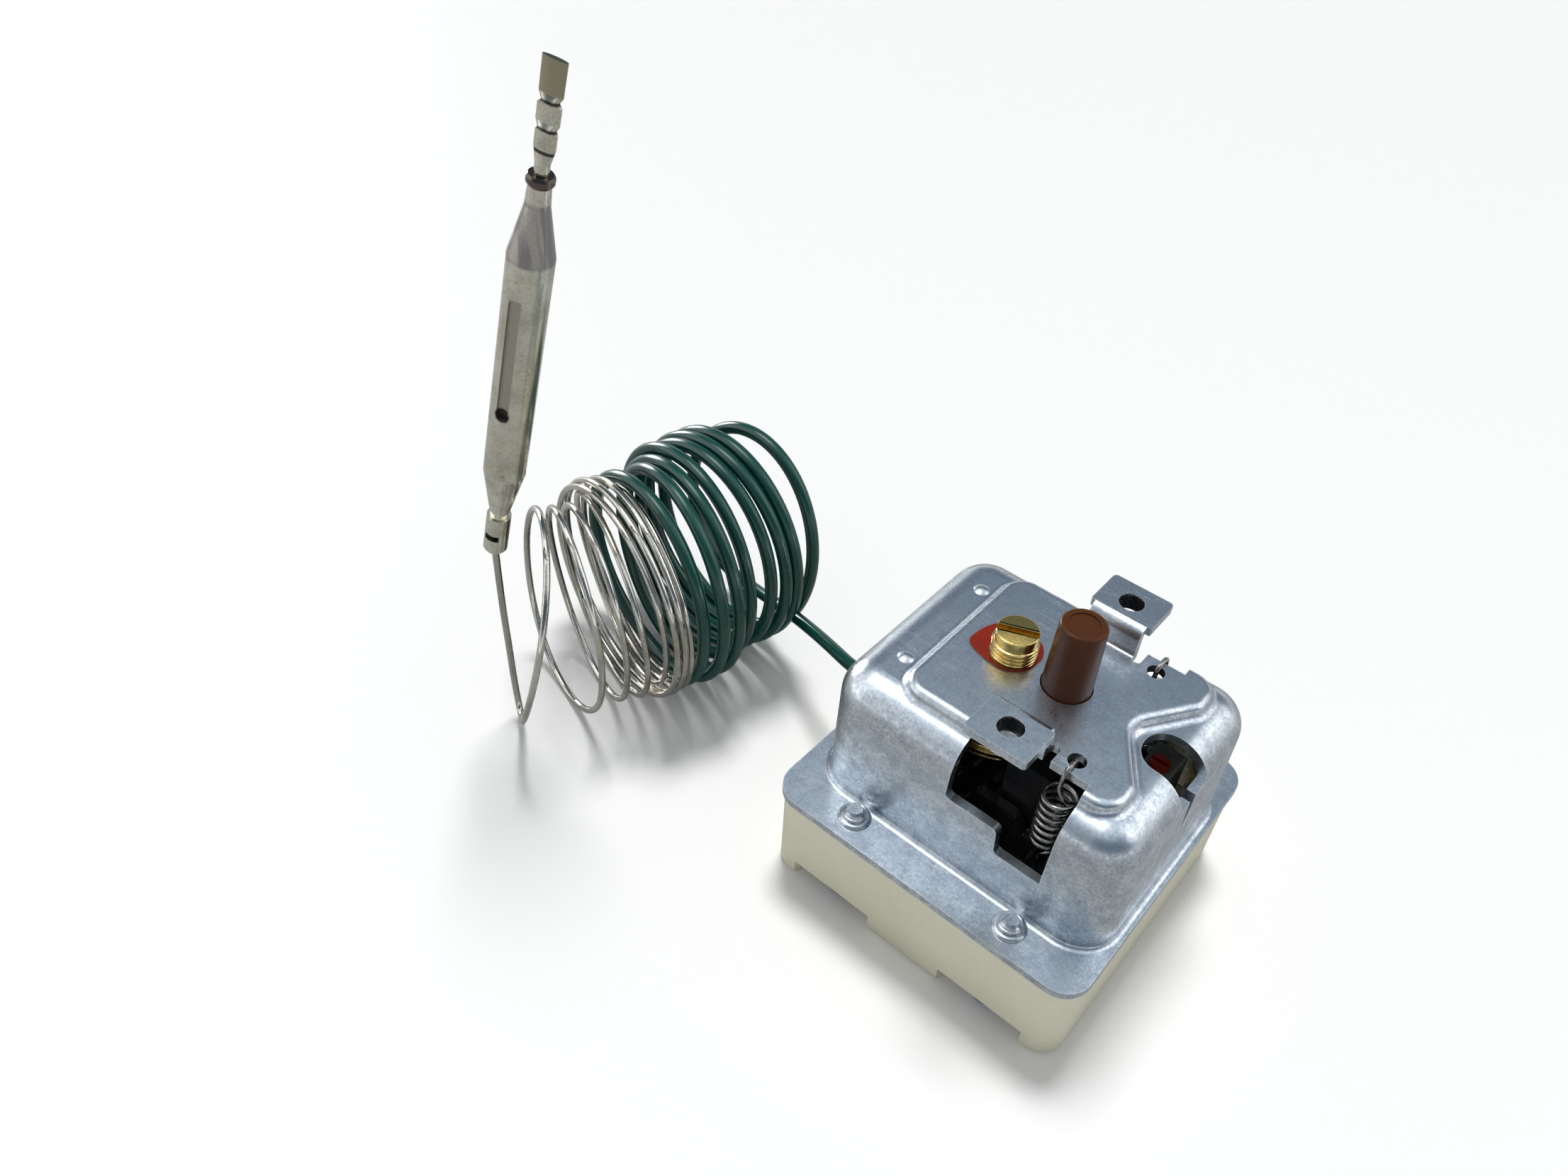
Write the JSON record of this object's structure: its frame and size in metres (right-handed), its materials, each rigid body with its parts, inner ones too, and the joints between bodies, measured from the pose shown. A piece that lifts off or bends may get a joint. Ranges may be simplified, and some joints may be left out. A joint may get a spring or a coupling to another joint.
{
  "type": "capillary limit control",
  "caption": "Manual-reset temperature limit switch on a ceramic base, with a drawn steel cover, tapped tabs, a sleeved capillary wound in a coil and a sensing bulb.",
  "frame": {"origin": "middle of the ceramic base's underside", "axes": "+Z towards the reset button; +X along the base, away from the end where the capillary leaves; -Y is the front side"},
  "size_m": [0.1076, 0.0575, 0.1018],
  "materials": {
    "ceramic": "unglazed white ceramic, satin",
    "plated_steel": "zinc-plated drawn sheet, satin",
    "screw_steel": "zinc-plated",
    "brass": "turned, satin",
    "spring_brass": "rolled strip",
    "silver": "bright contact metal",
    "red_lacquer": "sealing lacquer, glossy",
    "brown_plastic": "moulded thermoset, satin",
    "black_plastic": "moulded thermoset",
    "grey_plastic": "moulded, matte",
    "spring_steel": "drawn wire",
    "green_sleeve": "insulating sleeve, satin",
    "capillary_steel": "drawn tube",
    "bulb_steel": "drawn tube, satin"
  },
  "bodies": {
    "housing": {"ceramic_base": "ceramic", "cover": "plated_steel", "flange_screws": "screw_steel", "terminal_screws": "screw_steel", "wire_clamps": "plated_steel", "blade_rivets": "brass", "fixed_contacts": "silver", "moving_contacts": "silver", "adjusting_screw": "brass", "lacquer_seal": "red_lacquer", "reset_spring": "spring_steel", "diaphragm_capsule": "bulb_steel", "thrust_pin": "ceramic", "pivot_pin": "screw_steel", "bearing_frame": "black_plastic", "spring_front": "spring_steel", "spring_rear": "spring_steel", "calibration_block": "grey_plastic", "calibration_screw": "red_lacquer", "inner_capillary": "capillary_steel", "sleeve_lead": "green_sleeve", "green_coil": "green_sleeve", "steel_coil": "capillary_steel", "steel_tail": "capillary_steel", "bulb_clip": "bulb_steel", "bulb": "bulb_steel", "fill_collar": "bulb_steel", "fill_tube": "bulb_steel", "terminal_in_1": "brass", "terminal_out_1": "brass", "contact_blade_1": "spring_brass", "terminal_in_2": "brass", "terminal_out_2": "brass", "contact_blade_2": "spring_brass", "terminal_in_3": "brass", "terminal_out_3": "brass", "contact_blade_3": "spring_brass"},
    "button": {"reset_button": "brown_plastic", "reset_rod": "screw_steel"},
    "rocker": {"rocker_lever": "black_plastic"}
  },
  "joints": [
    {"name": "reset_press", "type": "slide", "parent": "housing", "child": "button", "axis": [0, 0, 1], "range_m": [-0.0022, 0], "stiffness_N_per_m": 500, "springref_m": 0.001, "deforming": ["reset_spring"]},
    {"name": "rocker_pivot", "type": "hinge", "parent": "housing", "child": "rocker", "pos_m": [-0.0015, 0, 0.02], "axis": [0, -1, 0], "range_deg": [0, 5], "deforming": ["spring_front", "spring_rear"]}
  ]
}
